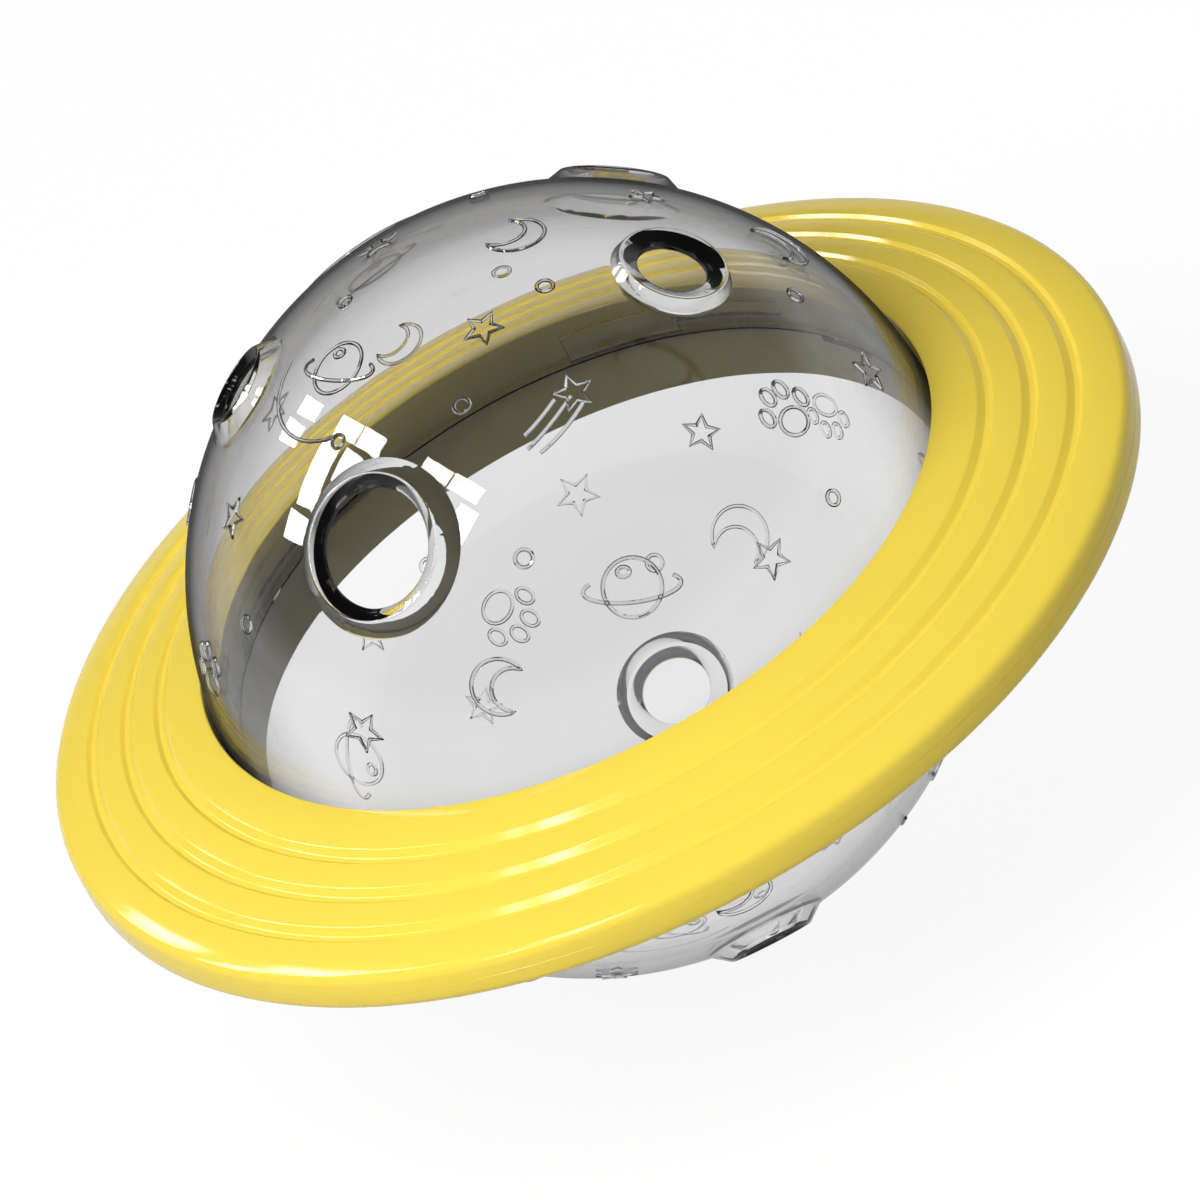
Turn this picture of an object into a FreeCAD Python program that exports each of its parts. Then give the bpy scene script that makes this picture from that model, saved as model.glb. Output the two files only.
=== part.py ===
import FreeCAD, Part
import math
import os

from FreeCAD import Vector

# Treat ball: a see-through ball in two halves, held at its middle by a flat hollow saucer.
# The upper half plugs into the saucer with a bayonet and comes off for filling.
# The lower half is clamped between the saucer's two shells by its tabs.
# Millimetres. Z is the ball's axis, and the origin is the ball's centre.

# Ball
ball_radius = 57.6
dome_wall = 2.0
belt_height = 1.0
seam_gap = 0.3

# Treat ports, the same pattern on both halves: azimuth and angle from the pole in degrees,
# then the radius of the hole, of the crest and of the foot of its raised collar
ports = (
    (233.2, 44.5, 8.75, 10.8, 13.2),
    (339.2, 36.9, 5.2, 8.0, 9.0),
    (46.5, 51.5, 6.4, 7.8, 10.2),
    (155.2, 35.4, 5.1, 6.2, 8.9),
)
collar_height = 1.4
collar_rounding = 0.4
dish_depth = 1.2
port_land = 0.8
port_flare = 2.6

# The lower half has the pattern turned over about the level line at this azimuth
lower_turn_azimuth = 211.35

# Saucer, with heights from the ball's centre
saucer_radius = 85.0
bore_clearance = 0.2
bore_top = 7.2
bore_bottom = -10.7
rim_middle = -4.3
rim_half_thickness = 3.2
rim_rounding = 1.2
bore_rounding = 0.4
sleeve_wall = 3.0
skin = 2.2

# Ring grooves in the saucer's top face, each from its inner edge outwards
groove_radii = (64.2, 70.4, 76.6)
groove_inner_flank = 0.9
groove_floor = 0.8
groove_outer_flank = 0.6
groove_depth = 0.7

# Lap joint along the rim
tongue_width = 1.0
tongue_height = 1.0
tongue_gap = 0.1

# Ribs inside the saucer
rib_count = 12
rib_thickness = 1.4
rib_meeting_height = -3.6
rib_gap = 0.3
rib_end_gap = 3.8

# Tabs of the lower half, in pockets that hold them down and stop them turning
tab_count = 4
tab_azimuth = 116.0
tab_arc = 12.0
tab_thickness = 2.0
tab_width = 4.0
tab_gap = 0.2

# Bayonet: lugs in the bore, slots in the outer face of the upper half
lug_count = 4
lug_azimuth = 67.0
lug_arc = 17.5
lug_low = 2.05
lug_height = 2.3
lug_ramp = 0.9
slot_depth = 1.2
slot_gap = 0.35
tip_gap = 0.2
lock_turn = 20.0
detent_radius = 0.5
detent_gap = 0.1

BELT = belt_height / 2
INNER_RADIUS = ball_radius - dome_wall
SLOT_RADIUS = ball_radius - slot_depth
BORE_RADIUS = ball_radius + bore_clearance
SLEEVE_RADIUS = BORE_RADIUS + sleeve_wall
SLEEVE_MIDDLE = BORE_RADIUS + sleeve_wall / 2
TAB_RADIUS = ball_radius + tab_width
TAB_BOTTOM = -BELT - tab_thickness
SKIRT_END = -BELT + seam_gap
LUG_TOP = lug_low + lug_height
RIM_TOP = rim_middle + rim_half_thickness
RIM_BOTTOM = rim_middle - rim_half_thickness
CAVITY_RADIUS = saucer_radius - skin
RIB_END = CAVITY_RADIUS - rib_end_gap
ORIGIN = Vector(0, 0, 0)
Z_AXIS = Vector(0, 0, 1)


def rounded_face(corners):
    """Face in the XZ plane from (radius, height, rounding) corners, joined by lines and tangent arcs."""
    count = len(corners)
    points = [Vector(r, 0, z) for r, z, _ in corners]
    edges = []
    starts = []
    ends = []
    middles = []
    for i in range(count):
        here = points[i]
        back = points[i - 1] - here
        ahead = points[(i + 1) % count] - here
        rounding = corners[i][2]
        half_angle = back.getAngle(ahead) / 2
        reach = 0.0
        if rounding > 0:
            reach = rounding / math.tan(half_angle)
        back.normalize()
        ahead.normalize()
        starts.append(here + back * reach)
        ends.append(here + ahead * reach)
        if reach > 0:
            radius = reach * math.tan(half_angle)
            inward = back + ahead
            inward.normalize()
            middles.append(here + inward * (radius / math.sin(half_angle) - radius))
        else:
            middles.append(None)
    for i in range(count):
        if middles[i] is not None:
            edges.append(Part.Arc(starts[i], middles[i], ends[i]).toShape())
        following = (i + 1) % count
        if ends[i].distanceToPoint(starts[following]) > 1e-6:
            edges.append(Part.LineSegment(ends[i], starts[following]).toShape())
    return Part.Face(Part.Wire(edges))


def turned(face, degrees=360.0, start=0.0):
    """Solid made by turning an XZ face about the ball's axis."""
    solid = face.revolve(ORIGIN, Z_AXIS, degrees)
    if start:
        solid.rotate(ORIGIN, Z_AXIS, start)
    return solid


def ring_sector(inner, outer, low, high, start, degrees):
    """Block with round inner and outer walls between two azimuths."""
    face = rounded_face(((inner, low, 0), (outer, low, 0), (outer, high, 0), (inner, high, 0)))
    return turned(face, degrees, start)


def aim(shape, azimuth, polar):
    """Turn a shape made about +Z so that it stands on the upper half at a place given by two angles."""
    shape.rotate(ORIGIN, Vector(0, 1, 0), polar)
    shape.rotate(ORIGIN, Z_AXIS, azimuth)
    shape.translate(Vector(0, 0, BELT))
    return shape


def on_sphere(radius, distance):
    """Height on a sphere at a distance from its axis."""
    return math.sqrt(radius ** 2 - distance ** 2)


def collar(hole_radius, crest_radius, foot_radius):
    """Raised ring around a port, about +Z: a sloping flank, a rounded crest and a dish down to the hole."""
    crest = ball_radius + collar_height
    foot = on_sphere(ball_radius, foot_radius)
    root = ball_radius - dome_wall / 2
    return turned(rounded_face((
        (0, foot - dome_wall / 2, 0),
        (foot_radius, foot - dome_wall / 2, 0),
        (foot_radius, foot, 0),
        (crest_radius, crest, collar_rounding),
        (hole_radius, crest - dish_depth, 0),
        (hole_radius, root, 0),
        (0, root, 0),
    )))


def port_cutter(hole_radius):
    """Straight hole with a flare on the inside of the wall, about +Z."""
    crest = ball_radius + collar_height
    land_end = crest - dish_depth - port_land
    flare_radius = hole_radius + port_flare
    flare_end = on_sphere(INNER_RADIUS, flare_radius)
    mouth_end = flare_end - dome_wall
    mouth_radius = flare_radius + dome_wall * port_flare / (land_end - flare_end)
    return turned(rounded_face((
        (0, mouth_end, 0),
        (mouth_radius, mouth_end, 0),
        (hole_radius, land_end, 0),
        (hole_radius, crest, 0),
        (0, crest, 0),
    )))


def half_ball(edge_height):
    """Hollow half ball on the belt's upper edge, with a straight skirt, cut level at a height."""
    solids = []
    for radius in (ball_radius, INNER_RADIUS):
        dome = Part.makeSphere(radius, Vector(0, 0, BELT), Z_AXIS, 0, 90, 360)
        skirt = Part.makeCylinder(radius, belt_height, Vector(0, 0, -BELT))
        solids.append(dome.fuse(skirt))
    below = Part.makeCylinder(saucer_radius, edge_height + belt_height, Vector(0, 0, -belt_height))
    return solids[0].cut(solids[1]).cut(below)


def with_ports(shell):
    """Give a half ball its four collared ports."""
    collars = [aim(collar(hole, crest, foot), azimuth, polar) for azimuth, polar, hole, crest, foot in ports]
    cutters = [aim(port_cutter(hole), azimuth, polar) for azimuth, polar, hole, _, _ in ports]
    return shell.fuse(collars).cut(cutters)


def bayonet_slots():
    """L-shaped slots in the outer face of the skirt, open at its lower edge, with a turn to lock."""
    gap_angle = math.degrees(slot_gap / ball_radius)
    outer = ball_radius + dome_wall
    entry_arc = lug_arc + 2 * gap_angle
    top = LUG_TOP + slot_gap
    slots = []
    for i in range(lug_count):
        start = lug_azimuth + i * 360 / lug_count - entry_arc / 2
        entry = ring_sector(SLOT_RADIUS, outer, -BELT, top, start, entry_arc)
        lock = ring_sector(SLOT_RADIUS, outer, lug_low - slot_gap, top, start - lock_turn, entry_arc + lock_turn)
        slots.append(entry.fuse(lock))
    return slots


def detents():
    """Small bumps on the strip under each lock leg, where the lug's notch snaps over them."""
    root = (INNER_RADIUS + SLOT_RADIUS) / 2
    bumps = []
    for i in range(lug_count):
        bump = Part.makeCylinder(
            detent_radius, ball_radius - root, Vector(root, 0, lug_low - slot_gap), Vector(1, 0, 0))
        bump.rotate(ORIGIN, Z_AXIS, lug_azimuth - lock_turn + i * 360 / lug_count)
        bumps.append(bump)
    return bumps


def upper_dome():
    """Smoky upper half: ports, plug skirt and bayonet slots."""
    shell = with_ports(half_ball(SKIRT_END)).cut(bayonet_slots())
    trim = Part.makeCylinder(ball_radius, ball_radius)
    bumps = [bump.common(trim) for bump in detents()]
    return shell.fuse(bumps).removeSplitter()


def tabs(gap):
    """Tabs of the lower half, or with a gap the pockets that they fit."""
    gap_angle = math.degrees(gap / ball_radius)
    arc = tab_arc + 2 * gap_angle
    blocks = []
    for i in range(tab_count):
        start = tab_azimuth + i * 360 / tab_count - arc / 2
        blocks.append(ring_sector(
            ball_radius - dome_wall / 2, TAB_RADIUS + gap, TAB_BOTTOM, -BELT, start, arc))
    return blocks


def lower_dome():
    """Clear lower half: ports and the tabs around its edge."""
    shell = with_ports(half_ball(BELT))
    shell.rotate(ORIGIN, Vector(1, 0, 0), 180)
    shell.rotate(ORIGIN, Z_AXIS, 2 * lower_turn_azimuth)
    return shell.fuse(tabs(0)).removeSplitter()


def top_slope():
    """Fall of the saucer's top face for each millimetre outwards."""
    return (bore_top - RIM_TOP) / (saucer_radius - rim_rounding - BORE_RADIUS)


def top_height(radius):
    """Height of the saucer's top face before its grooves."""
    return bore_top - top_slope() * (radius - BORE_RADIUS)


def underside_height(radius):
    """Height of the saucer's underside."""
    rise = (RIM_BOTTOM - bore_bottom) / (saucer_radius - rim_rounding - BORE_RADIUS)
    return bore_bottom + rise * (radius - BORE_RADIUS)


def groove_corners():
    """Corners of the ring grooves along the top face, from the bore outwards."""
    corners = []
    for radius in groove_radii:
        floor_start = radius + groove_inner_flank
        floor_end = floor_start + groove_floor
        for place, depth in ((radius, 0), (floor_start, groove_depth), (floor_end, groove_depth),
                             (floor_end + groove_outer_flank, 0)):
            corners.append((place, top_height(place) - depth, 0))
    return corners


def lugs():
    """Bayonet lugs on the bore, each with a ramp at its leading end and a notch for the detent."""
    tip = SLOT_RADIUS + tip_gap
    blocks = []
    for i in range(lug_count):
        azimuth = lug_azimuth + i * 360 / lug_count
        start = azimuth - lug_arc / 2
        block = ring_sector(tip, SLEEVE_MIDDLE, lug_low, LUG_TOP, start, lug_arc)
        notch = Part.makeCylinder(
            detent_radius + detent_gap, SLEEVE_RADIUS - SLOT_RADIUS, Vector(SLOT_RADIUS, 0, lug_low),
            Vector(1, 0, 0))
        notch.rotate(ORIGIN, Z_AXIS, azimuth)
        size = 2 * lug_ramp
        ramp = Part.makeBox(size, size, size, Vector(-size / 2, -size / 2, -size / 2))
        ramp.rotate(ORIGIN, Vector(1, 0, 0), 45)
        ramp.translate(Vector((tip + BORE_RADIUS) / 2, 0, lug_low))
        ramp.rotate(ORIGIN, Z_AXIS, start)
        blocks.append(block.cut([notch, ramp]))
    return blocks


def ribs(corners):
    """Upright ribs around the saucer, each from its corners as radius and height."""
    points = [Vector(radius, -rib_thickness / 2, height) for radius, height in corners]
    face = Part.Face(Part.makePolygon(points + points[:1]))
    solids = []
    for i in range(rib_count):
        solid = face.extrude(Vector(0, rib_thickness, 0))
        solid.rotate(ORIGIN, Z_AXIS, (i + 0.5) * 360 / rib_count)
        solids.append(solid)
    return solids


def saucer_top_shell():
    """Upper shell: cone with ring grooves, half of the bore with its lugs, and a rebate at the rim."""
    ceiling_drop = skin * math.hypot(1, top_slope())
    rebate_radius = CAVITY_RADIUS + tongue_width + tongue_gap
    rebate_top = rim_middle + tongue_height + tongue_gap
    shell = turned(rounded_face((
        (BORE_RADIUS, -BELT, 0),
        (BORE_RADIUS, bore_top, bore_rounding),
        *groove_corners(),
        (saucer_radius, top_height(saucer_radius), rim_rounding),
        (saucer_radius, rim_middle, 0),
        (rebate_radius, rim_middle, 0),
        (rebate_radius, rebate_top, 0),
        (CAVITY_RADIUS, rebate_top, 0),
        (CAVITY_RADIUS - skin, top_height(CAVITY_RADIUS - skin) - ceiling_drop, 0),
        (SLEEVE_RADIUS, top_height(SLEEVE_RADIUS) - ceiling_drop, 0),
        (SLEEVE_RADIUS, -BELT, 0),
    )))
    above_sleeve = -BELT + rib_gap
    past_sleeve = SLEEVE_RADIUS + rib_gap
    stiffeners = ribs((
        (SLEEVE_MIDDLE, above_sleeve),
        (past_sleeve, above_sleeve),
        (past_sleeve, rib_meeting_height),
        (RIB_END, rib_meeting_height),
        (RIB_END, top_height(RIB_END) - ceiling_drop / 2),
        (SLEEVE_MIDDLE, top_height(SLEEVE_MIDDLE) - ceiling_drop / 2),
    ))
    return shell.fuse(stiffeners + lugs()).removeSplitter()


def saucer_bottom_shell():
    """Lower shell: underside, the rest of the bore with the tabs' pockets, and a tongue at the rim."""
    tongue_top = rim_middle + tongue_height
    shell = turned(rounded_face((
        (BORE_RADIUS, -BELT, 0),
        (BORE_RADIUS, bore_bottom, bore_rounding),
        (saucer_radius, underside_height(saucer_radius), rim_rounding),
        (saucer_radius, rim_middle, 0),
        (CAVITY_RADIUS + tongue_width, rim_middle, 0),
        (CAVITY_RADIUS + tongue_width, tongue_top, 0),
        (CAVITY_RADIUS, tongue_top, 0),
        (CAVITY_RADIUS, underside_height(CAVITY_RADIUS) + skin, 0),
        (SLEEVE_RADIUS, underside_height(SLEEVE_RADIUS) + skin, 0),
        (SLEEVE_RADIUS, -BELT, 0),
    )))
    stiffeners = ribs((
        (SLEEVE_MIDDLE, underside_height(SLEEVE_MIDDLE) + skin / 2),
        (RIB_END, underside_height(RIB_END) + skin / 2),
        (RIB_END, rib_meeting_height - rib_gap),
        (SLEEVE_MIDDLE, rib_meeting_height - rib_gap),
    ))
    return shell.fuse(stiffeners).cut(tabs(tab_gap)).removeSplitter()


def main():
    os.makedirs("parts", exist_ok=True)
    nodes = {
        "upper_dome": upper_dome(),
        "lower_dome": lower_dome(),
        "saucer_top_shell": saucer_top_shell(),
        "saucer_bottom_shell": saucer_bottom_shell(),
    }
    for name, shape in nodes.items():
        shape.exportStep("parts/" + name + ".step")
        print(name, len(shape.Solids), shape.isValid(), round(shape.Volume), "cubic mm")


main()
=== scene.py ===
import math

import bmesh
import bpy
from mathutils import Matrix, Vector


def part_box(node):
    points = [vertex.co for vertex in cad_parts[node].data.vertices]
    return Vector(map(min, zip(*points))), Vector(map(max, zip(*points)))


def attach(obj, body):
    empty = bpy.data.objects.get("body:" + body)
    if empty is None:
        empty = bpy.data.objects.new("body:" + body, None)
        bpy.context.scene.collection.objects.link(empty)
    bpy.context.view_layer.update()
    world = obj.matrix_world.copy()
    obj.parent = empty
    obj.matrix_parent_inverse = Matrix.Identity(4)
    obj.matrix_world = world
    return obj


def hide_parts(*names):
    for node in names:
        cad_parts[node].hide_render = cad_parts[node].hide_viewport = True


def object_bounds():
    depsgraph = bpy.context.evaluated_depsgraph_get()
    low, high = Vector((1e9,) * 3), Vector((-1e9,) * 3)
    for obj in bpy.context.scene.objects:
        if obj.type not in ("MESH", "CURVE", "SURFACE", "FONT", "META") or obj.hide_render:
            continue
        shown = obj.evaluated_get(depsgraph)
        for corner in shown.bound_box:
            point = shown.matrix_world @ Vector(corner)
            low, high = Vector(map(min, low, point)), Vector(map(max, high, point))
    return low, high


bl_info = {
    "name": "Treat Ball",
    "version": (1, 0, 0),
    "blender": (4, 5, 0),
    "location": "View3D > Sidebar > Treat Ball",
    "description": "A see-through treat ball in two halves, held by a flat saucer with ring grooves",
    "category": "Add Mesh",
}

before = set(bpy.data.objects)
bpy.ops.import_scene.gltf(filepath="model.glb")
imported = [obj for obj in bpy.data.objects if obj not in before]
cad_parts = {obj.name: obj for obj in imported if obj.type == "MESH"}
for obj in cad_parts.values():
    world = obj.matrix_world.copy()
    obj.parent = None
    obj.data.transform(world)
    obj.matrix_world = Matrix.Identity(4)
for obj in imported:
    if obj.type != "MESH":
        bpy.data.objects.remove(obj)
CAD_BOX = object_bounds()

MM = 0.001
UPPER_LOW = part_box("upper_dome")[0]
LOWER_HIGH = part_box("lower_dome")[1]
SAUCER_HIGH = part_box("saucer_bottom_shell")[1]

# Treat ports on both halves: azimuth and angle from the pole in degrees,
# then the radius of the hole, of the crest and of the foot of its raised collar
PORTS = (
    (233.2, 44.5, 8.75 * MM, 10.8 * MM, 13.2 * MM),
    (339.2, 36.9, 5.2 * MM, 8.0 * MM, 9.0 * MM),
    (46.5, 51.5, 6.4 * MM, 7.8 * MM, 10.2 * MM),
    (155.2, 35.4, 5.1 * MM, 6.2 * MM, 8.9 * MM),
)

# The lower half has the pattern turned over about the level line at this azimuth
LOWER_TURN = 211.35

# Ring grooves in the saucer's top face, each from its inner edge outwards
GROOVES = (64.2 * MM, 70.4 * MM, 76.6 * MM)

# Raised line figures on both halves: azimuth and angle from the pole in degrees,
# half width, and turn in degrees
FIGURES = (
    ("planet", 200, 18, 7.2 * MM, 15),
    ("orbit", 200, 18, 12.0 * MM, 250),
    ("star", 285, 17, 3.0 * MM, 10),
    ("moon", 5, 15, 4.4 * MM, 40),
    ("star", 100, 19, 3.2 * MM, 25),
    ("ring", 320, 20, 1.2 * MM, 0),
    ("ring", 60, 27, 1.3 * MM, 0),
    ("ring", 150, 13, 1.0 * MM, 0),
    ("comet", 284, 36, 7.0 * MM, 200),
    ("ring", 262, 27, 1.2 * MM, 0),
    ("star", 303, 52, 2.8 * MM, 20),
    ("paw", 318, 60, 5.2 * MM, -20),
    ("ring", 345, 56, 1.2 * MM, 0),
    ("moon", 2, 56, 4.6 * MM, 120),
    ("star", 16, 38, 2.6 * MM, 0),
    ("planet", 98, 46, 7.6 * MM, -20),
    ("orbit", 98, 46, 12.5 * MM, 80),
    ("star", 124, 64, 3.4 * MM, 0),
    ("ring", 78, 68, 1.3 * MM, 0),
    ("moon", 155, 60, 4.4 * MM, -40),
    ("star", 188, 45, 3.0 * MM, 0),
    ("ring", 200, 58, 1.2 * MM, 0),
    ("paw", 186, 70, 4.8 * MM, 25),
    ("star", 225, 71, 3.2 * MM, 30),
    ("moon", 250, 68, 4.2 * MM, -30),
    ("planet", 276, 63, 7.2 * MM, -25),
    ("ring", 262, 52, 1.3 * MM, 0),
    ("star", 297, 72, 3.0 * MM, 5),
    ("ring", 312, 73, 1.1 * MM, 0),
    ("star", 338, 70, 3.2 * MM, 15),
    ("paw", 25, 74, 4.4 * MM, 0),
    ("ring", 50, 72, 1.2 * MM, 0),
    ("moon", 98, 72, 3.8 * MM, 60),
)

# Lamps: azimuth and elevation in degrees, distance, width and height in metres, and power in watts
KEY_LAMP = (228, 53, 1.6, 0.9, 0.9, 25)
FILL_LAMP = (340, 66, 1.8, 1.0, 1.0, 3)

# The picture's width and height in pixels
PICTURE = 1200

# Glints of window panes on the ball: the four corners of each, read in the picture's pixels,
# and the pane's brightness
GLINTS = (
    ((311, 400), (329, 410), (316, 423), (300, 413), 20),
    ((294, 421), (311, 431), (297, 449), (283, 438), 20),
    ((348, 419), (370, 429), (356, 447), (336, 436), 25),
    ((371, 430), (393, 443), (379, 459), (357, 447), 25),
    ((331, 442), (348, 452), (315, 512), (299, 502), 25),
    ((352, 453), (372, 462), (343, 505), (327, 493), 25),
    ((296, 510), (314, 519), (306, 548), (288, 536), 25),
    ((430, 460), (457, 474), (450, 489), (424, 470), 25),
    ((461, 476), (485, 491), (480, 508), (448, 489), 25),
    ((455, 503), (475, 513), (470, 550), (455, 540), 25),
)

# One more pane, given as azimuth and elevation in degrees, width and height in metres,
# roll in degrees, and brightness
LOW_PANE = (-145, 46.5, 0.110, 0.160, -26.3, 25)

# Points nearer than this are one point
WELD = 1e-6

# Points nearer than this to the plane of a port's cut lie on it
CUT_GAP = 10 * WELD

# How much wider than its collar's foot a port's edge is looked for
FOOT_MARGIN = 1.01

# Height of the skin under the saucer's sloping top, as a share of the skin's thickness
SLOPE_SHARE = 1.06

# How far the mirrored window panes stand from the ball, in metres
PANE_DISTANCE = 1.5


def length(name, description, default):
    """A size property in metres."""
    return bpy.props.FloatProperty(
        name=name, description=description, default=default, min=0, precision=5,
        subtype="DISTANCE", unit="LENGTH")


def height(name, description, default):
    """A property for a height above or below the ball's centre, in metres."""
    return bpy.props.FloatProperty(
        name=name, description=description, default=default, precision=5, subtype="DISTANCE", unit="LENGTH")


def colour(name, description, default):
    """A colour property."""
    return bpy.props.FloatVectorProperty(
        name=name, description=description, default=default, size=3, min=0, max=1, subtype="COLOR")


def angle(name, description, degrees):
    """An angle property, given in degrees."""
    return bpy.props.FloatProperty(
        name=name, description=description, default=math.radians(degrees), subtype="ANGLE", unit="ROTATION")


class BallSizes(bpy.types.PropertyGroup):
    radius: length("Ball radius", "Outer radius of both half balls", 57.6 * MM)
    wall: length("Wall", "Thickness of the half balls", 2.0 * MM)
    belt: length("Half belt", "How far each half's round part starts from the middle", -LOWER_HIGH.z)
    skirt_end: height("Skirt end", "Lower edge of the upper half", UPPER_LOW.z)
    collar_height: length("Collar height", "How far a port's crest stands above the ball", 1.4 * MM)
    collar_rounding: length("Collar rounding", "Rounding of a port's crest", 0.4 * MM)
    dish: length("Dish", "How far a port's face falls from its crest to its hole", 1.2 * MM)
    land: length("Port land", "Straight length of a port's hole", 0.8 * MM)
    land_rounding: length("Land rounding", "Rounding at both ends of a port's hole", 0.25 * MM)
    flare: length("Port flare", "How far a port opens out on the inside of the wall", 2.6 * MM)
    columns: bpy.props.IntProperty(name="Columns", description="Faces around the ball", default=320, min=32)
    rows: bpy.props.IntProperty(name="Rows", description="Faces from a pole to the belt", default=80, min=8)


class ReliefSizes(bpy.types.PropertyGroup):
    line: length("Line", "How far the raised lines stand above the ball, and half their width", 0.33 * MM)


class LockSizes(bpy.types.PropertyGroup):
    count: bpy.props.IntProperty(name="Lugs", description="Lugs around the bore", default=4, min=2)
    azimuth: angle("Azimuth", "Where the first lug is centred", 67.0)
    arc: angle("Arc", "Length of a lug around the bore", 17.5)
    low: height("Underside", "Height of a lug's underside", 2.05 * MM)
    tall: length("Height", "Height of a lug", 2.3 * MM)
    depth: length("Slot depth", "Depth of a slot in the upper half's outer face", 1.2 * MM)
    tip_gap: length("Tip gap", "Gap between a lug's tip and the floor of its slot", 0.2 * MM)
    ramp: length("Ramp", "Chamfer under a lug's leading end", 0.9 * MM)
    notch: length("Notch", "Radius of the notch under the middle of a lug", 0.6 * MM)
    gap: length("Slot gap", "Room between a lug and its slot", 0.35 * MM)
    turn: angle("Turn", "How far the upper half turns to lock", 20.0)


class TabSizes(bpy.types.PropertyGroup):
    count: bpy.props.IntProperty(name="Tabs", description="Tabs around the lower half", default=4, min=2)
    azimuth: angle("Azimuth", "Where the first tab is centred", 116.0)
    arc: angle("Arc", "Length of a tab around the ball", 12.0)
    thickness: length("Thickness", "Thickness of a tab", 2.0 * MM)
    width: length("Width", "How far a tab stands out from the ball", 4.0 * MM)
    gap: length("Gap", "Room between a tab and its pocket", 0.2 * MM)


class SaucerSizes(bpy.types.PropertyGroup):
    radius: length("Radius", "Outer radius of the saucer", SAUCER_HIGH.x)
    bore_clearance: length("Bore clearance", "Gap between the ball and the bore", 0.2 * MM)
    bore_top: height("Bore top", "Height of the upper end of the bore", 7.2 * MM)
    bore_bottom: height("Bore bottom", "Height of the lower end of the bore", -10.7 * MM)
    bore_rounding: length("Bore rounding", "Rounding of both ends of the bore", 0.4 * MM)
    sleeve: length("Sleeve", "Thickness of the wall round the bore", 3.0 * MM)
    rim_middle: height("Rim middle", "Height of the parting line at the rim", -4.3 * MM)
    rim_half: length("Half rim", "Half of the rim's thickness", 3.2 * MM)
    rim_rounding: length("Rim rounding", "Rounding of both edges of the rim", 1.2 * MM)
    skin: length("Skin", "Thickness of the shells", 2.2 * MM)
    groove_inner_flank: length("Inner flank", "Width of a ring groove's inner flank", 0.9 * MM)
    groove_floor: length("Groove floor", "Width of a ring groove at its floor", 0.8 * MM)
    groove_outer_flank: length("Outer flank", "Width of a ring groove's outer flank", 0.6 * MM)
    groove_depth: length("Groove depth", "Depth of a ring groove", 0.7 * MM)
    groove_rounding: length("Groove rounding", "Rounding of a ring groove's edges", 0.1 * MM)
    parting: length("Parting groove", "Depth of the fine line between the shells at the rim", 0.06 * MM)
    columns: bpy.props.IntProperty(name="Columns", description="Faces around the saucer", default=360, min=32)


class Colours(bpy.types.PropertyGroup):
    smoky: colour("Smoky plastic", "Tint of the upper half", (0.86, 0.86, 0.865))
    clear: colour("Clear plastic", "Tint of the lower half", (0.95, 0.955, 0.955))
    yellow: colour("Yellow plastic", "Colour of the saucer", (0.91, 0.695, 0.082))
    floor: colour("Floor", "Colour that the floor casts on the ball", (0.52, 0.52, 0.52))


class StageSizes(bpy.types.PropertyGroup):
    elevation: angle("Elevation", "Height of the camera above the saucer's plane", 32.06)
    lean: angle("Lean", "How far the ball's axis leans to the left in the picture", 28.65)
    frame_width: length("Frame width", "What the picture's width covers at the ball", 173.56 * MM)
    aim_right: height("Aim right", "The picture's middle, right of the ball's centre", 2.2 * MM)
    aim_up: height("Aim up", "The picture's middle, above the ball's centre", -3.2 * MM)
    lens: bpy.props.FloatProperty(
        name="Lens", description="Focal length in millimetres", default=1600.0, min=10)
    floor_radius: length("Floor radius", "Size of the floor", 6.0)


# Mesh tools


def add_piece(bm, name, material, sharp_degrees=35.0):
    """Turn a bmesh into a smooth shaded object with one material."""
    mesh = bpy.data.meshes.new(name)
    bm.to_mesh(mesh)
    bm.free()
    mesh.materials.append(material)
    mesh.shade_smooth()
    mesh.set_sharp_from_angle(angle=math.radians(sharp_degrees))
    piece = bpy.data.objects.new(name, mesh)
    bpy.context.scene.collection.objects.link(piece)
    return piece


def spin_profile(bm, points, columns, closed=False, degrees=360.0, start=0.0):
    """Turn (radius, height) points about Z, all the way round or through part of a turn."""
    verts = [bm.verts.new((radius, 0, high)) for radius, high in points]
    pairs = list(zip(verts, verts[1:]))
    if closed:
        pairs.append((verts[-1], verts[0]))
    edges = [bm.edges.new(pair) for pair in pairs]
    if start:
        bmesh.ops.rotate(bm, verts=verts, cent=(0, 0, 0), matrix=Matrix.Rotation(math.radians(start), 3, "Z"))
    full = degrees == 360.0
    bmesh.ops.spin(
        bm, geom=verts + edges, cent=(0, 0, 0), axis=(0, 0, 1), dvec=(0, 0, 0),
        angle=math.radians(degrees), steps=columns, use_merge=full)
    bmesh.ops.remove_doubles(bm, verts=bm.verts, dist=WELD)


def face_outwards(bm):
    """Turn all faces of a closed shape outwards."""
    bmesh.ops.recalc_face_normals(bm, faces=bm.faces)


def round_rings(bm, corners, segments=3):
    """Round the circular edges at (radius, height, rounding) corners."""
    for radius, high, rounding in corners:
        ring = [edge for edge in bm.edges
                if all(abs(math.hypot(v.co.x, v.co.y) - radius) < WELD and abs(v.co.z - high) < WELD
                       for v in edge.verts)]
        bmesh.ops.bevel(
            bm, geom=ring, offset=rounding, offset_type="OFFSET", segments=segments, profile=0.5,
            affect="EDGES", material=-1, clamp_overlap=True)


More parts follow.
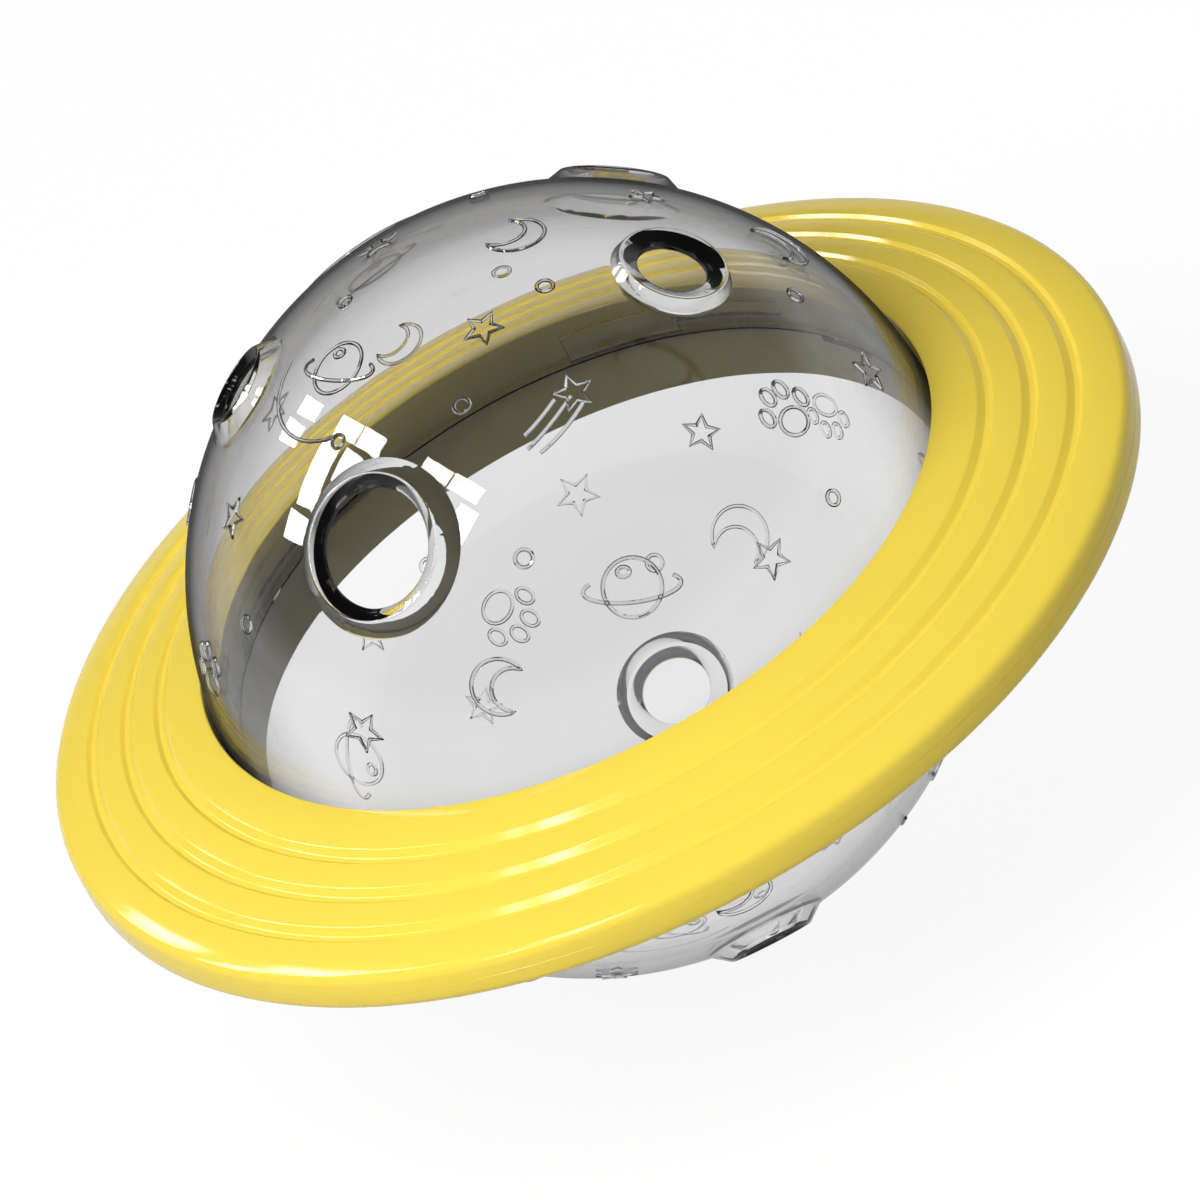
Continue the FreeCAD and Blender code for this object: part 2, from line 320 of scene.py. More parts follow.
def extrude_loop(bm, edges, place):
    """Extrude a loop of edges, put each new point where place says, and return the new loop."""
    made = bmesh.ops.extrude_edge_only(bm, edges=edges)["geom"]
    fresh = {item for item in made if isinstance(item, bmesh.types.BMVert)}
    for vert in fresh:
        vert.co = place(vert.co)
    return [item for item in made
            if isinstance(item, bmesh.types.BMEdge) and all(v in fresh for v in item.verts)]


def azimuth_of(point):
    """Azimuth of a point in degrees, from 0 to 360."""
    return math.degrees(math.atan2(point.y, point.x)) % 360.0


def azimuth_gap(first, second):
    """Signed difference between two azimuths in degrees."""
    return (first - second + 180.0) % 360.0 - 180.0


def even_spans(count, first, half_arc):
    """Start and end azimuths of evenly spread spans, in degrees."""
    middles = [first + i * 360.0 / count for i in range(count)]
    return [(middle - half_arc, middle + half_arc) for middle in middles]


def align_columns(bm, spans, columns, low, high):
    """Move the nearest column of points between two heights to each end of some azimuth spans."""
    ends = [end for span in spans for end in span]
    for vert in bm.verts:
        if low - WELD < vert.co.z < high + WELD and vert.co.xy.length > WELD:
            here = azimuth_of(vert.co)
            shift = min((azimuth_gap(end, here) for end in ends), key=abs)
            if abs(shift) < 180.0 / columns:
                vert.co = Matrix.Rotation(math.radians(shift), 3, "Z") @ vert.co


def in_spans(face, spans, low, high):
    """Whether the middle of a face is in some azimuth spans and between two heights."""
    middle = face.calc_center_median()
    here = azimuth_of(middle)
    return low < middle.z < high and any(
        abs(azimuth_gap(here, (start + end) / 2)) < (end - start) / 2 for start, end in spans)


# Half balls


def direction(azimuth, polar):
    """Unit vector at an azimuth and an angle from the upper pole, in degrees."""
    turn, tilt = math.radians(azimuth), math.radians(polar)
    return Vector((math.sin(tilt) * math.cos(turn), math.sin(tilt) * math.sin(turn), math.cos(tilt)))


def half_ball_rows(sizes, fixed_heights):
    """(radius, height) points from the upper pole down, with rows at some fixed heights."""
    step = math.radians(90.0 / sizes.rows)
    clear = 0.5 * sizes.radius * step
    heights = [sizes.belt + sizes.radius * math.cos(i * step) for i in range(sizes.rows)]
    heights = [high for high in heights if all(abs(high - fixed) > clear for fixed in fixed_heights)]
    rows = []
    for high in sorted([*heights, *fixed_heights], reverse=True):
        above = max(high - sizes.belt, 0)
        rows.append((math.sqrt(max(sizes.radius ** 2 - above ** 2, 0)), high))
    return rows


def port_plane(sizes, port):
    """Axis of a port, and the middle of the circle at its collar's foot."""
    axis = direction(port[0], port[1])
    return axis, Vector((0, 0, sizes.belt)) + axis * math.sqrt(sizes.radius ** 2 - port[4] ** 2)


def port_border(sizes, port, edges):
    """The edges among some that lie on the circle at a collar's foot."""
    axis, middle = port_plane(sizes, port)
    return [edge for edge in edges if all(
        abs((v.co - middle).dot(axis)) < CUT_GAP and (v.co - middle).length < port[4] * FOOT_MARGIN
        for v in edge.verts)]


def cut_port(bm, sizes, port):
    """Cut a round hole as wide as a collar's foot into the upper half's outer face."""
    axis, middle = port_plane(sizes, port)
    geometry = bm.verts[:] + bm.edges[:] + bm.faces[:]
    bmesh.ops.bisect_plane(bm, geom=geometry, dist=WELD, plane_co=middle, plane_no=axis, clear_outer=True)
    for vert in bm.verts:
        offset = vert.co - middle
        if abs(offset.dot(axis)) < CUT_GAP and offset.length < port[4] * FOOT_MARGIN:
            vert.co = middle + offset.normalized() * port[4]


def rounded_path(corners, segments):
    """Points along (radius, height, rounding) corners, with an arc at each rounded one."""
    points = []
    for i, (radius, high, rounding) in enumerate(corners):
        here = Vector((radius, high))
        if rounding:
            back = (Vector(corners[i - 1][:2]) - here).normalized()
            ahead = (Vector(corners[i + 1][:2]) - here).normalized()
            half = back.angle(ahead) / 2
            reach = rounding / math.tan(half)
            centre = here + (back + ahead).normalized() * rounding / math.sin(half)
            start, end = here + back * reach - centre, here + ahead * reach - centre
            for j in range(segments + 1):
                points.append(tuple(centre + start.lerp(end, j / segments).normalized() * rounding))
        else:
            points.append((radius, high))
    return points


def collar_profile(sizes, hole, crest, foot):
    """(radius, rise) points over a port's collar, from its foot over the crest to the inside of the wall."""
    top = sizes.radius + sizes.collar_height
    dish_end = top - sizes.dish
    inner = sizes.radius - sizes.wall
    flare = hole + sizes.flare
    inner_foot = foot * inner / sizes.radius
    return rounded_path((
        (foot, math.sqrt(sizes.radius ** 2 - foot ** 2), 0),
        (crest, top, sizes.collar_rounding),
        (hole, dish_end, sizes.land_rounding),
        (hole, dish_end - sizes.land, sizes.land_rounding),
        (flare, math.sqrt(inner ** 2 - flare ** 2), 0),
        (inner_foot, math.sqrt(inner ** 2 - inner_foot ** 2), 0),
    ), 5)


def raise_collar(bm, sizes, port):
    """Build a port's collar and hole from the edge of its cut, down to the inner face."""
    axis, _ = port_plane(sizes, port)
    centre = Vector((0, 0, sizes.belt))
    loop = port_border(sizes, port, [edge for edge in bm.edges if edge.is_boundary])
    for radius, rise in collar_profile(sizes, *port[2:])[1:]:
        def place(point):
            offset = point - centre
            out = (offset - axis * offset.dot(axis)).normalized()
            return centre + axis * rise + out * radius
        loop = extrude_loop(bm, loop, place)


def shift_patch(bm, faces, radius, edge_height):
    """Move a patch of the outer face to a radius, with walls along its border but not at the half's edge."""
    made = bmesh.ops.split(bm, geom=faces)["geom"]
    patch = [item for item in made if isinstance(item, bmesh.types.BMFace)]
    points = {vert for face in patch for vert in face.verts}
    border = {edge for face in patch for edge in face.edges
              if edge.is_boundary and any(abs(v.co.z - edge_height) > WELD for v in edge.verts)}
    bmesh.ops.extrude_edge_only(bm, edges=list(border))
    for vert in points:
        vert.co.xy *= radius / vert.co.xy.length


def close_wall(bm, sizes, patches, edge_height):
    """Give the outer face of a half ball its patches, inner face, ports and edge, as one closed wall."""
    for port in PORTS:
        cut_port(bm, sizes, port)
    outer = bm.faces[:]
    copy = bmesh.ops.duplicate(bm, geom=bm.verts[:] + bm.edges[:] + outer)["geom"]
    share = 1 - sizes.wall / sizes.radius
    for item in copy:
        if isinstance(item, bmesh.types.BMVert):
            above = max(item.co.z - sizes.belt, 0)
            item.co = (item.co.x * share, item.co.y * share, item.co.z - above * (1 - share))
    bmesh.ops.reverse_faces(bm, faces=[item for item in copy if isinstance(item, bmesh.types.BMFace)])
    inner_edges = {item for item in copy if isinstance(item, bmesh.types.BMEdge)}
    for inside, radius in patches:
        shift_patch(bm, [face for face in outer if face.is_valid and inside(face)], radius, edge_height)
    outer_points = {v for edge in bm.edges if edge not in inner_edges for v in edge.verts}
    bmesh.ops.remove_doubles(bm, verts=list(outer_points), dist=WELD)
    edge_loop = [edge for edge in bm.edges if edge.is_boundary and edge not in inner_edges
                 and all(abs(v.co.z - edge_height) < WELD for v in edge.verts)]
    for port in PORTS:
        raise_collar(bm, sizes, port)

    def to_inner_edge(point):
        back = (sizes.radius - sizes.wall) / point.xy.length
        return Vector((point.x * back, point.y * back, point.z))

    extrude_loop(bm, edge_loop, to_inner_edge)
    bmesh.ops.remove_doubles(bm, verts=bm.verts, dist=WELD)
    bmesh.ops.dissolve_degenerate(bm, edges=bm.edges, dist=WELD)
    face_outwards(bm)


def upper_half(scene):
    """The upper half ball with its ports, and bayonet slots in the outer face of its skirt."""
    sizes, lock = scene.treat_ball, scene.treat_ball_lock
    half_arc = math.degrees(lock.arc) / 2 + math.degrees(lock.gap / sizes.radius)
    legs = even_spans(lock.count, math.degrees(lock.azimuth), half_arc)
    wholes = [(start - math.degrees(lock.turn), end) for start, end in legs]
    low = lock.low - lock.gap
    high = lock.low + lock.tall + lock.gap
    bm = bmesh.new()
    rows = half_ball_rows(sizes, (high, low, sizes.belt, sizes.skirt_end))
    spin_profile(bm, rows, sizes.columns)
    align_columns(bm, legs + wholes, sizes.columns, sizes.skirt_end, high)

    def in_slot(face):
        return in_spans(face, legs, sizes.skirt_end, high) or in_spans(face, wholes, low, high)

    close_wall(bm, sizes, ((in_slot, sizes.radius - lock.depth),), sizes.skirt_end)
    return bm


def turn_over(bm):
    """Turn a shape made on the upper half over onto the lower half."""
    bmesh.ops.rotate(bm, verts=bm.verts, cent=(0, 0, 0), matrix=Matrix.Rotation(math.pi, 3, "X"))
    bmesh.ops.rotate(
        bm, verts=bm.verts, cent=(0, 0, 0), matrix=Matrix.Rotation(math.radians(2 * LOWER_TURN), 3, "Z"))


def lower_half(scene):
    """The lower half ball with its ports and the tabs that the saucer clamps, built upside down."""
    sizes, tab = scene.treat_ball, scene.treat_ball_tabs
    first = 2 * LOWER_TURN - math.degrees(tab.azimuth)
    spans = even_spans(tab.count, first, math.degrees(tab.arc) / 2)
    back = sizes.belt + tab.thickness
    bm = bmesh.new()
    spin_profile(bm, half_ball_rows(sizes, (back, sizes.belt)), sizes.columns)
    align_columns(bm, spans, sizes.columns, sizes.belt, back)

    def in_tab(face):
        return in_spans(face, spans, sizes.belt, back)

    close_wall(bm, sizes, ((in_tab, sizes.radius + tab.width),), sizes.belt)
    turn_over(bm)
    return bm


def oval(across, up, start=0.0, end=360.0, middle=(0.0, 0.0)):
    """Points along an ellipse about a middle, from one angle to another in degrees."""
    count = max(8, round(abs(end - start) / 7.5))
    angles = [math.radians(start + (end - start) * i / count) for i in range(count + 1)]
    return [(middle[0] + across * math.cos(a), middle[1] + up * math.sin(a)) for a in angles]


def figure_lines(kind):
    """The lines of a figure of half width 1, each closed where its ends meet."""
    star = []
    for i in range(11):
        reach = 0.45 if i % 2 else 1.0
        star.append((reach * math.sin(math.radians(36 * i)), reach * math.cos(math.radians(36 * i))))
    if kind == "star":
        return [star]
    if kind == "ring":
        return [oval(1, 1)]
    if kind == "moon":
        hollow = math.degrees(math.atan2(math.sin(math.radians(50)), math.cos(math.radians(50)) - 0.5))
        reach = math.sin(math.radians(50)) / math.sin(math.radians(hollow))
        return [oval(1, 1, 50, 310) + oval(reach, reach, 360 - hollow, hollow, (0.5, 0))[1:]]
    if kind == "planet":
        return [oval(0.6, 0.6), oval(1, 0.3, -212, 32), oval(0.13, 0.1, middle=(-0.15, 0.33))]
    if kind == "orbit":
        return [oval(1, 1, -60, 60), oval(0.09, 0.09, middle=(0.5, 0.96))]
    if kind == "comet":
        head = [(0.42 * x - 0.55, 0.42 * y) for x, y in star]
        return [head, oval(1.5, 0.5, 100, 40, (-0.2, -0.2)), oval(1.6, 0.35, 95, 35, (-0.3, -0.35)),
                oval(1.3, 0.3, 90, 40, (-0.2, -0.55))]
    if kind == "paw":
        places = ((-0.72, 0.12), (-0.27, 0.6), (0.27, 0.6), (0.72, 0.12))
        toes = [oval(0.2, 0.27, middle=place) for place in places]
        return [oval(0.5, 0.4, middle=(0, -0.35)), *toes]
    raise ValueError(kind)


def relief(scene):
    """The raised line figures on the upper half."""
    sizes = scene.treat_ball
    curve = bpy.data.curves.new("relief", "CURVE")
    curve.dimensions = "3D"
    curve.bevel_depth = scene.treat_ball_relief.line
    curve.bevel_resolution = 1
    curve.use_fill_caps = True
    for kind, azimuth, polar, size, turn in FIGURES:
        out = direction(azimuth, polar)
        across = Vector((0, 0, 1)).cross(out).normalized()
        up = out.cross(across)
        tilt = Matrix.Rotation(math.radians(turn), 2)
        for line in figure_lines(kind):
            closed = math.dist(line[0], line[-1]) < WELD
            spline = curve.splines.new("POLY")
            spline.points.add(len(line) - 1 - closed)
            spline.use_cyclic_u = closed
            for point, flat in zip(spline.points, line):
                flat = tilt @ Vector(flat) * size
                place = (out * sizes.radius + across * flat.x + up * flat.y).normalized() * sizes.radius
                point.co = (*(place + Vector((0, 0, sizes.belt))), 1)
    seat = bpy.data.objects.new("relief", curve)
    mesh = bpy.data.meshes.new_from_object(seat)
    bm = bmesh.new()
    bm.from_mesh(mesh)
    bpy.data.objects.remove(seat)
    bpy.data.curves.remove(curve)
    bpy.data.meshes.remove(mesh)
    bmesh.ops.remove_doubles(bm, verts=bm.verts, dist=WELD)
    face_outwards(bm)
    return bm


# Saucer


def saucer_lines(scene):
    """Functions for the heights of the saucer's top face and underside at a radius."""
    ball, saucer = scene.treat_ball, scene.treat_ball_saucer
    bore = ball.radius + saucer.bore_clearance
    run = saucer.radius - saucer.rim_rounding - bore
    fall = (saucer.bore_top - saucer.rim_middle - saucer.rim_half) / run
    rise = (saucer.rim_middle - saucer.rim_half - saucer.bore_bottom) / run

    def top(radius):
        return saucer.bore_top - fall * (radius - bore)

    def underside(radius):
        return saucer.bore_bottom + rise * (radius - bore)

    return bore, top, underside


def top_shell(scene):
    """The saucer's upper shell with its ring grooves."""
    ball, saucer = scene.treat_ball, scene.treat_ball_saucer
    bore, top, _ = saucer_lines(scene)
    seat = -ball.belt
    cavity = saucer.radius - saucer.skin
    sleeve = bore + saucer.sleeve
    drop = saucer.skin * SLOPE_SHARE
    points = [(bore, seat), (bore, saucer.bore_top)]
    rounded = [(bore, saucer.bore_top, saucer.bore_rounding)]
    for radius in GROOVES:
        floor_start = radius + saucer.groove_inner_flank
        floor_end = floor_start + saucer.groove_floor
        for at, depth in ((radius, 0), (floor_start, saucer.groove_depth), (floor_end, saucer.groove_depth),
                          (floor_end + saucer.groove_outer_flank, 0)):
            points.append((at, top(at) - depth))
            rounded.append((at, top(at) - depth, saucer.groove_rounding))
    points.append((saucer.radius, top(saucer.radius)))
    rounded.append((saucer.radius, top(saucer.radius), saucer.rim_rounding))
    points += [
        (saucer.radius, saucer.rim_middle + saucer.parting),
        (saucer.radius - saucer.parting, saucer.rim_middle),
        (cavity, saucer.rim_middle),
        (cavity - saucer.skin, top(cavity - saucer.skin) - drop),
        (sleeve, top(sleeve) - drop),
        (sleeve, seat),
    ]
    bm = bmesh.new()
    spin_profile(bm, points, saucer.columns, closed=True)
    face_outwards(bm)
    round_rings(bm, rounded)
    return bm


def bottom_shell(scene):
    """The saucer's lower shell with the rest of the bore and the pockets for the lower half's tabs."""
    ball, saucer, tab = scene.treat_ball, scene.treat_ball_saucer, scene.treat_ball_tabs
    bore, _, underside = saucer_lines(scene)
    seat = -ball.belt
    floor = seat - tab.thickness
    cavity = saucer.radius - saucer.skin
    sleeve = bore + saucer.sleeve
    points = [
        (bore, seat),
        (bore, floor),
        (bore, saucer.bore_bottom),
        (saucer.radius, underside(saucer.radius)),
        (saucer.radius, saucer.rim_middle - saucer.parting),
        (saucer.radius - saucer.parting, saucer.rim_middle),
        (cavity, saucer.rim_middle),
        (cavity, underside(cavity) + saucer.skin),
        (sleeve, underside(sleeve) + saucer.skin),
        (sleeve, floor),
        (sleeve, seat),
    ]
    bm = bmesh.new()
    spin_profile(bm, points, saucer.columns, closed=True)
    face_outwards(bm)
    round_rings(bm, (
        (bore, saucer.bore_bottom, saucer.bore_rounding),
        (saucer.radius, underside(saucer.radius), saucer.rim_rounding),
    ))
    half_arc = math.degrees(tab.arc) / 2 + math.degrees(tab.gap / ball.radius)
    for span in even_spans(tab.count, math.degrees(tab.azimuth), half_arc):
        align_columns(bm, [span], saucer.columns, floor, seat)
        pocket = [face for face in bm.faces if in_spans(face, [span], floor, seat + WELD)]
        bmesh.ops.delete(bm, geom=pocket, context="FACES")
        border = [edge for edge in bm.edges if edge.is_boundary]
        foot = [edge for edge in border if all(abs(v.co.z - floor) < WELD for v in edge.verts)]
        bmesh.ops.bridge_loops(bm, edges=foot)
        bmesh.ops.holes_fill(bm, edges=[edge for edge in bm.edges if edge.is_boundary], sides=4)
    face_outwards(bm)
    return bm


def lug_ring(scene):
    """The bayonet lugs on the bore."""
    ball, saucer, lock = scene.treat_ball, scene.treat_ball_saucer, scene.treat_ball_lock
    tip = ball.radius - lock.depth + lock.tip_gap
    root = ball.radius + saucer.bore_clearance + saucer.sleeve / 4
    arc = math.degrees(lock.arc)
    whole = bmesh.new()
    for i in range(lock.count):
        start = math.degrees(lock.azimuth) + i * 360.0 / lock.count - arc / 2
        bm = bmesh.new()
        top = lock.low + lock.tall
        spin_profile(
            bm, ((tip, lock.low), (root, lock.low), (root, top), (tip, top)), 36, closed=True,
            degrees=arc, start=start)
        bmesh.ops.holes_fill(bm, edges=[edge for edge in bm.edges if edge.is_boundary], sides=4)
        face_outwards(bm)
        lead = [edge for edge in bm.edges
                if all(abs(v.co.z - lock.low) < WELD and abs(azimuth_gap(azimuth_of(v.co), start)) < 0.01
                       for v in edge.verts)]
        bmesh.ops.bevel(
            bm, geom=lead, offset=lock.ramp, offset_type="OFFSET", segments=1, profile=0.5,
            affect="EDGES", material=-1, clamp_overlap=False)
        middle = start + arc / 2
        for vert in bm.verts:
            reach = math.radians(azimuth_gap(azimuth_of(vert.co), middle)) * ball.radius
            if abs(vert.co.z - lock.low) < WELD and abs(reach) < lock.notch:
                vert.co.z += math.sqrt(lock.notch ** 2 - reach ** 2)
        mesh = bpy.data.meshes.new("lug")
        bm.to_mesh(mesh)
        bm.free()
        whole.from_mesh(mesh)
        bpy.data.meshes.remove(mesh)
    return whole


# Finishes


class Wire:
    """An output of a node. Sums on it add Math nodes."""

    def __init__(self, finish, socket):
        self.finish = finish
        self.socket = socket

    def sum(self, operation, *values):
        return self.finish.node("ShaderNodeMath", {"operation": operation}, dict(enumerate(values)))[0]

    def __add__(self, other):
        return self.sum("ADD", self, other)

    __radd__ = __add__

    def __sub__(self, other):
        return self.sum("SUBTRACT", self, other)

    def __rsub__(self, other):
        return self.sum("SUBTRACT", other, self)

    def __mul__(self, other):
        return self.sum("MULTIPLY", self, other)

    __rmul__ = __mul__

    def __pow__(self, other):
        return self.sum("POWER", self, other)

    def __rpow__(self, other):
        return self.sum("POWER", other, self)

    def larger(self, other):
        return self.sum("MAXIMUM", self, other)


class Finish:
    """A node tree with one method that adds any node."""

    def __init__(self, tree):
        self.tree = tree
        tree.nodes.clear()

    def node(self, kind, settings, inputs):
        """Add a node, set it, fill its sockets with values or links, and return its outputs as wires."""
        node = self.tree.nodes.new(kind)
        for name, value in settings.items():
            if name == "stops":
                ramp = node.color_ramp
                while len(ramp.elements) < len(value):
                    ramp.elements.new(0.5)
                for element, (place, tint) in zip(ramp.elements, value):
                    element.position = place
                    element.color = (*tint, 1.0)
            else:
                setattr(node, name, value)
        for name, value in inputs.items():
            if isinstance(value, Wire):
                self.tree.links.new(value.socket, node.inputs[name])
            else:
                node.inputs[name].default_value = value
        return {key: Wire(self, socket) for i, socket in enumerate(node.outputs) for key in (i, socket.name)}

    def output(self, kind, surface):
        self.node(kind, {}, {"Surface": surface})


def new_material(name):
    """An empty material and its finish."""
    material = bpy.data.materials.new(name)
    material.use_nodes = True
    return material, Finish(material.node_tree)


def noise(finish, place, scale, detail):
    """Even noise over a piece, from 0 to 1."""
    return finish.node(
        "ShaderNodeTexNoise", {"noise_dimensions": "3D"},
        {"Vector": place, "Scale": scale, "Detail": detail})[0]


def mottled(finish, share, tint, low, high):
    """A tint that goes from low to high times itself with a share."""
    ends = [(*(min(1.0, by * c) for c in tint), 1.0) for by in (low, high)]
    return finish.node("ShaderNodeMix", {"data_type": "RGBA"}, {"Factor": share, 6: ends[0], 7: ends[1]})[2]


def see_through(name, tint, painted_outline_shade, passing_tint):
    """Polished see-through plastic, faintly clouded and rippled, with painted shade that darkens it towards
    its outline.
    """
    material, finish = new_material(name)
    place = finish.node("ShaderNodeTexCoord", {}, {})["Object"]
    body = mottled(finish, noise(finish, place, 30.0, 2.0), tint, 0.985, 1.015)
    ripple = noise(finish, place, 45.0, 1.0)
    bump = finish.node(
        "ShaderNodeBump", {}, {"Strength": 0.06, "Distance": 0.0008, "Height": ripple})["Normal"]
    glass = finish.node(
        "ShaderNodeBsdfPrincipled", {},
        {"Base Color": body, "Roughness": 0.0, "IOR": 1.46, "Transmission Weight": 1.0, "Normal": bump})[0]
    path = finish.node("ShaderNodeLightPath", {}, {})
    # Painted shade: a near-black diffuse is mixed in by facing, for camera rays only, so the walls darken
    # towards their outline
    facing = finish.node("ShaderNodeLayerWeight", {}, {"Blend": 0.5})["Facing"]
    slant = finish.node(
        "ShaderNodeMapRange", {}, {"Value": facing, "From Min": 0.40, "From Max": 0.86, "To Max": 1.0})[0]
    painted_outline_dark = finish.node("ShaderNodeBsdfDiffuse", {}, {"Color": (0.03, 0.03, 0.03, 1.0)})[0]
    shaded = finish.node(
        "ShaderNodeMixShader", {}, {0: slant ** 1.25 * path["Is Camera Ray"] * painted_outline_shade, 1: glass, 2: painted_outline_dark})[0]
    lets_by = path["Is Shadow Ray"].larger(path["Is Diffuse Ray"])
    passing = finish.node("ShaderNodeBsdfTransparent", {}, {"Color": (*passing_tint, 1.0)})[0]
    mixed = finish.node("ShaderNodeMixShader", {}, {0: lets_by, 1: shaded, 2: passing})[0]
    finish.output("ShaderNodeOutputMaterial", mixed)
    return material


def yellow_plastic(name, tint):
    """Satin moulded plastic with faint flow marks and a fine grain."""
    material, finish = new_material(name)
    place = finish.node("ShaderNodeTexCoord", {}, {})["Object"]
    shade = mottled(finish, noise(finish, place, 14.0, 3.0), tint, 0.965, 1.035)
    grain = noise(finish, place, 2600.0, 1.0)
    patch = noise(finish, place, 60.0, 2.0)
    bump = finish.node(
        "ShaderNodeBump", {}, {"Strength": 0.12, "Distance": 0.00005, "Height": grain})["Normal"]
    plastic = finish.node(
        "ShaderNodeBsdfPrincipled", {},
        {"Base Color": shade, "Roughness": 0.08 + 0.04 * patch, "IOR": 1.46, "Specular IOR Level": 0.3,
         "Normal": bump})[0]
    finish.output("ShaderNodeOutputMaterial", plastic)
    return material


def floor_paint(tint):
    """A pale floor that shows as white and keeps a soft shadow."""
    material, finish = new_material("pale_floor")
    place = finish.node("ShaderNodeTexCoord", {}, {})["Object"]
    cast = mottled(finish, noise(finish, place, 3.0, 2.0), tint, 0.98, 1.0)
    path = finish.node("ShaderNodeLightPath", {}, {})
    seen = path["Is Camera Ray"].larger(path["Is Transmission Ray"] - path["Glossy Depth"])
    shade = finish.node("ShaderNodeMix", {"data_type": "RGBA"}, {"Factor": seen, 6: cast, 7: (1, 1, 1, 1)})[2]
    matt = finish.node("ShaderNodeBsdfPrincipled", {}, {"Base Color": shade, "Roughness": 0.9, "IOR": 1.3})[0]
    white = finish.node("ShaderNodeEmission", {}, {"Color": (1, 1, 1, 1), "Strength": 1.0})[0]
    share = seen.larger(path["Is Glossy Ray"] * 0.6) * 0.92
    mixed = finish.node("ShaderNodeMixShader", {}, {0: share, 1: matt, 2: white})[0]
    finish.output("ShaderNodeOutputMaterial", mixed)
    return material


# Stage


def picture_axes(stage):
    """The picture's right, up and towards-the-camera directions."""
    tilt, lean = stage.elevation, stage.lean
    right = Vector((math.cos(lean), -math.sin(lean) * math.sin(tilt), -math.sin(lean) * math.cos(tilt)))
    up = Vector((math.sin(lean), math.cos(lean) * math.sin(tilt), math.cos(lean) * math.cos(tilt)))
    return right, up, Vector((0, -math.cos(tilt), math.sin(tilt)))


def add_camera(scene):
    """The camera at the picture's angle, with a long lens."""
    stage = scene.treat_ball_stage
    right, up, back = picture_axes(stage)
    camera = bpy.data.cameras.new("camera")
    camera.sensor_width = 36.0
    camera.lens = stage.lens
    distance = stage.lens * stage.frame_width / camera.sensor_width
    camera.clip_start = 0.1
    camera.clip_end = 4 * distance
    seat = bpy.data.objects.new("camera", camera)
    scene.collection.objects.link(seat)
    aim = right * stage.aim_right + up * stage.aim_up
    turn = Matrix((right, up, back)).transposed().to_4x4()
    seat.matrix_world = Matrix.Translation(aim + back * distance) @ turn
    scene.camera = seat


def add_lamp(scene, name, azimuth, elevation, distance, width, tall, power, roll=0.0, pane=False):
    """An area lamp that faces the ball, rolled about its own axis. The ball mirrors panes alone."""
    lamp = bpy.data.lights.new(name, "AREA")
    lamp.shape = "RECTANGLE"
    lamp.size = width
    lamp.size_y = tall
    lamp.energy = power
    seat = bpy.data.objects.new(name, lamp)
    scene.collection.objects.link(seat)
    towards = direction(azimuth, 90 - elevation)
    turn = towards.to_track_quat("Z", "Y").to_matrix() @ Matrix.Rotation(math.radians(roll), 3, "Z")
    seat.matrix_world = Matrix.Translation(towards * distance) @ turn.to_4x4()
    seat.visible_camera = False
    seat.visible_transmission = False
    seat.visible_diffuse = not pane
    seat.visible_glossy = pane


def mirrored_way(scene, across, down):
    """The direction that the upper half mirrors at a pixel of the picture."""
    ball, stage = scene.treat_ball, scene.treat_ball_stage
    right, up, back = picture_axes(stage)
    pixel = stage.frame_width / PICTURE
    start = right * ((across - PICTURE / 2) * pixel + stage.aim_right)
    start += up * ((PICTURE / 2 - down) * pixel + stage.aim_up) - Vector((0, 0, ball.belt))
    reach = start.dot(back)
    depth = math.sqrt(reach ** 2 - start.length_squared + ball.radius ** 2) - reach
    return -back.reflect((start + back * depth).normalized())


def pane_behind(scene, corners):
    """Azimuth, elevation, width, height and roll of the pane that shows as a glint with four corners."""
    points = [mirrored_way(scene, *corner) * PANE_DISTANCE for corner in corners]
    towards = sum(points, Vector()).normalized()
    side = Vector((0, 0, 1)).cross(towards).normalized()
    rise = towards.cross(side)
    first, second, third, fourth = (Vector((point.dot(side), point.dot(rise))) for point in points)
    width = (second - first + third - fourth) / 2
    tall = (fourth - first + third - second) / 2
    azimuth = math.degrees(math.atan2(towards.y, towards.x))
    elevation = math.degrees(math.asin(towards.z))
    roll = math.degrees(math.atan2(width.y, width.x))
    return azimuth, elevation, width.length, tall.length, roll


def add_world(scene):
    """White behind the ball, and a plainer room for light and reflections."""
    world = bpy.data.worlds.new("room")
    scene.world = world
    world.use_nodes = True
    finish = Finish(world.node_tree)
    place = finish.node("ShaderNodeTexCoord", {}, {})["Generated"]
    high = finish.node("ShaderNodeSeparateXYZ", {}, {0: place})["Z"]
    room = finish.node(
        "ShaderNodeValToRGB",
        {"stops": ((0.0, (1.0, 1.0, 1.0)), (0.5, (0.8, 0.8, 0.8)), (0.6, (0.16, 0.16, 0.17)),
                   (1.0, (0.10, 0.10, 0.11)))},
        {0: high * 0.5 + 0.5})[0]
    path = finish.node("ShaderNodeLightPath", {}, {})
    studio = finish.node("ShaderNodeBackground", {}, {"Color": room, "Strength": 1.0})[0]
    soft = finish.node("ShaderNodeBackground", {}, {"Color": (1.0, 0.995, 0.985, 1.0), "Strength": 0.24})[0]
    white = finish.node("ShaderNodeBackground", {}, {"Color": (1, 1, 1, 1), "Strength": 1.0})[0]
    shine = path["Is Glossy Ray"].larger(path["Is Transmission Ray"])
    lit = finish.node("ShaderNodeMixShader", {}, {0: shine, 1: soft, 2: studio})[0]
    seen = finish.node("ShaderNodeMixShader", {}, {0: path["Is Camera Ray"], 1: lit, 2: white})[0]
    finish.output("ShaderNodeOutputWorld", seen)


# Operators


